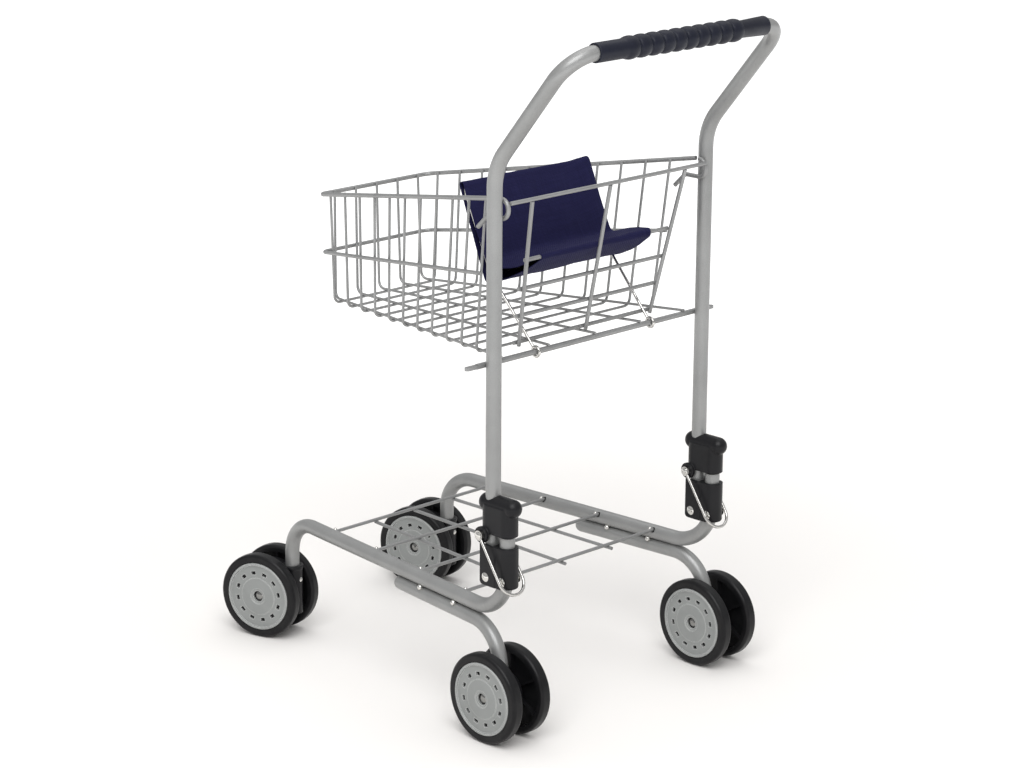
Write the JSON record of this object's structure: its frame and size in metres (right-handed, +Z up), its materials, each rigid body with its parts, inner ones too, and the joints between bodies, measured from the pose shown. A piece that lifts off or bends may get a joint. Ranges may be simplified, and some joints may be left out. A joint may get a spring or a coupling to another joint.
{
  "type": "toy shopping trolley",
  "caption": "Toy supermarket trolley: tapered wire basket on a folding tube frame, ribbed handle, sling doll seat, wire shelf, twin swivel castors in front and twin fixed wheels behind.",
  "frame": {"origin": "centre of the bounding box's bottom face, on the floor between the four wheel units", "axes": "+Z up, -Y the direction of travel (basket nose and castors), +X the trolley's left side"},
  "size_m": [0.285, 0.4198, 0.5534],
  "materials": {
    "frame_tube": "silver powder coat, fine metallic grain",
    "basket_wire": "silver powder coat on welded wire",
    "bright_wire": "bright plated spring wire",
    "steel_fixings": "zinc plated, lightly worn",
    "black_plastic": "black moulded plastic, satin",
    "wheel_plastic": "black moulded plastic wheel, fine tread texture",
    "cap_plastic": "grey moulded plastic with a bright rim",
    "grip_foam": "dark navy ribbed soft grip",
    "seat_cloth": "dark navy woven cloth"
  },
  "bodies": {
    "base": {"left_side_tube": "frame_tube", "right_side_tube": "frame_tube", "left_rear_leg": "frame_tube", "right_rear_leg": "frame_tube", "leg_welds": "steel_fixings", "shelf_cross_wires": "basket_wire", "shelf_long_wires": "basket_wire", "shelf_welds": "steel_fixings", "left_bracket": "black_plastic", "right_bracket": "black_plastic", "bracket_rivets": "steel_fixings", "left_rear_housing": "black_plastic", "right_rear_housing": "black_plastic", "left_rear_axle": "steel_fixings", "right_rear_axle": "steel_fixings"},
    "left_caster": {"left_caster_housing": "black_plastic", "left_caster_axle": "steel_fixings", "left_caster_screw": "steel_fixings"},
    "right_caster": {"right_caster_housing": "black_plastic", "right_caster_axle": "steel_fixings", "right_caster_screw": "steel_fixings"},
    "left_rear_outer": {"left_rear_outer_wheel": "wheel_plastic", "left_rear_outer_cap": "cap_plastic"},
    "left_rear_inner": {"left_rear_inner_wheel": "wheel_plastic", "left_rear_inner_cap": "cap_plastic"},
    "left_front_outer": {"left_front_outer_wheel": "wheel_plastic", "left_front_outer_cap": "cap_plastic"},
    "left_front_inner": {"left_front_inner_wheel": "wheel_plastic", "left_front_inner_cap": "cap_plastic"},
    "right_rear_outer": {"right_rear_outer_wheel": "wheel_plastic", "right_rear_outer_cap": "cap_plastic"},
    "right_rear_inner": {"right_rear_inner_wheel": "wheel_plastic", "right_rear_inner_cap": "cap_plastic"},
    "right_front_outer": {"right_front_outer_wheel": "wheel_plastic", "right_front_outer_cap": "cap_plastic"},
    "right_front_inner": {"right_front_inner_wheel": "wheel_plastic", "right_front_inner_cap": "cap_plastic"},
    "handle_frame": {"handle_tube": "frame_tube", "handle_grip": "grip_foam", "pivot_plugs": "black_plastic", "basket_rim": "basket_wire", "basket_band": "basket_wire", "basket_cross_wires": "basket_wire", "basket_long_wires": "basket_wire", "gate_uprights": "basket_wire", "gate_rods": "basket_wire", "basket_bar": "basket_wire", "seat_panel": "seat_cloth"},
    "left_slider": {"left_lock_slider": "black_plastic", "left_bail_rivets": "steel_fixings"},
    "right_slider": {"right_lock_slider": "black_plastic", "right_bail_rivets": "steel_fixings"},
    "left_bail": {"left_bail": "bright_wire"},
    "right_bail": {"right_bail": "bright_wire"},
    "seat": {"seat_frame": "bright_wire", "seat_back": "seat_cloth"}
  },
  "joints": [
    {"name": "left_caster_swivel", "type": "hinge", "parent": "base", "child": "left_caster", "pos_m": [0.0905, -0.14808, 0.055], "axis": [0, 0, 1], "continuous": true},
    {"name": "right_caster_swivel", "type": "hinge", "parent": "base", "child": "right_caster", "pos_m": [-0.0905, -0.14808, 0.055], "axis": [0, 0, 1], "continuous": true},
    {"name": "left_front_outer_spin", "type": "hinge", "parent": "left_caster", "child": "left_front_outer", "pos_m": [0.09708, -0.1696, 0.0366], "axis": [0.9563, 0.2924, 0], "continuous": true},
    {"name": "left_front_inner_spin", "type": "hinge", "parent": "left_caster", "child": "left_front_inner", "pos_m": [0.09708, -0.1696, 0.0366], "axis": [0.9563, 0.2924, 0], "continuous": true},
    {"name": "right_front_outer_spin", "type": "hinge", "parent": "right_caster", "child": "right_front_outer", "pos_m": [-0.08506, -0.16991, 0.0366], "axis": [0.9703, 0.2419, 0], "continuous": true},
    {"name": "right_front_inner_spin", "type": "hinge", "parent": "right_caster", "child": "right_front_inner", "pos_m": [-0.08506, -0.16991, 0.0366], "axis": [0.9703, 0.2419, 0], "continuous": true},
    {"name": "left_rear_outer_spin", "type": "hinge", "parent": "base", "child": "left_rear_outer", "pos_m": [0.1215, 0.13492, 0.0366], "axis": [1, 0, 0], "continuous": true},
    {"name": "left_rear_inner_spin", "type": "hinge", "parent": "base", "child": "left_rear_inner", "pos_m": [0.1215, 0.13492, 0.0366], "axis": [1, 0, 0], "continuous": true},
    {"name": "right_rear_outer_spin", "type": "hinge", "parent": "base", "child": "right_rear_outer", "pos_m": [-0.1215, 0.13492, 0.0366], "axis": [1, 0, 0], "continuous": true},
    {"name": "right_rear_inner_spin", "type": "hinge", "parent": "base", "child": "right_rear_inner", "pos_m": [-0.1215, 0.13492, 0.0366], "axis": [1, 0, 0], "continuous": true},
    {"name": "handle_fold", "type": "hinge", "parent": "base", "child": "handle_frame", "pos_m": [0, 0.12342, 0.1305], "axis": [1, 0, 0], "range_deg": [0, 30]},
    {"name": "left_lock_slide", "type": "slide", "parent": "handle_frame", "child": "left_slider", "axis": [0, 0, 1], "range_m": [0, 0.025]},
    {"name": "right_lock_slide", "type": "slide", "parent": "handle_frame", "child": "right_slider", "axis": [0, 0, 1], "range_m": [0, 0.025]},
    {"name": "left_bail_swing", "type": "hinge", "parent": "left_slider", "child": "left_bail", "pos_m": [0.1185, 0.12062, 0.1648], "axis": [1, 0, 0], "range_deg": [0, 110]},
    {"name": "right_bail_swing", "type": "hinge", "parent": "right_slider", "child": "right_bail", "pos_m": [-0.1185, 0.12062, 0.1648], "axis": [1, 0, 0], "range_deg": [0, 110]},
    {"name": "seat_fold", "type": "hinge", "parent": "handle_frame", "child": "seat", "pos_m": [0, 0.11532, 0.298], "axis": [1, 0, 0], "range_deg": [-18, 0], "deforming": ["seat_panel"]}
  ]
}
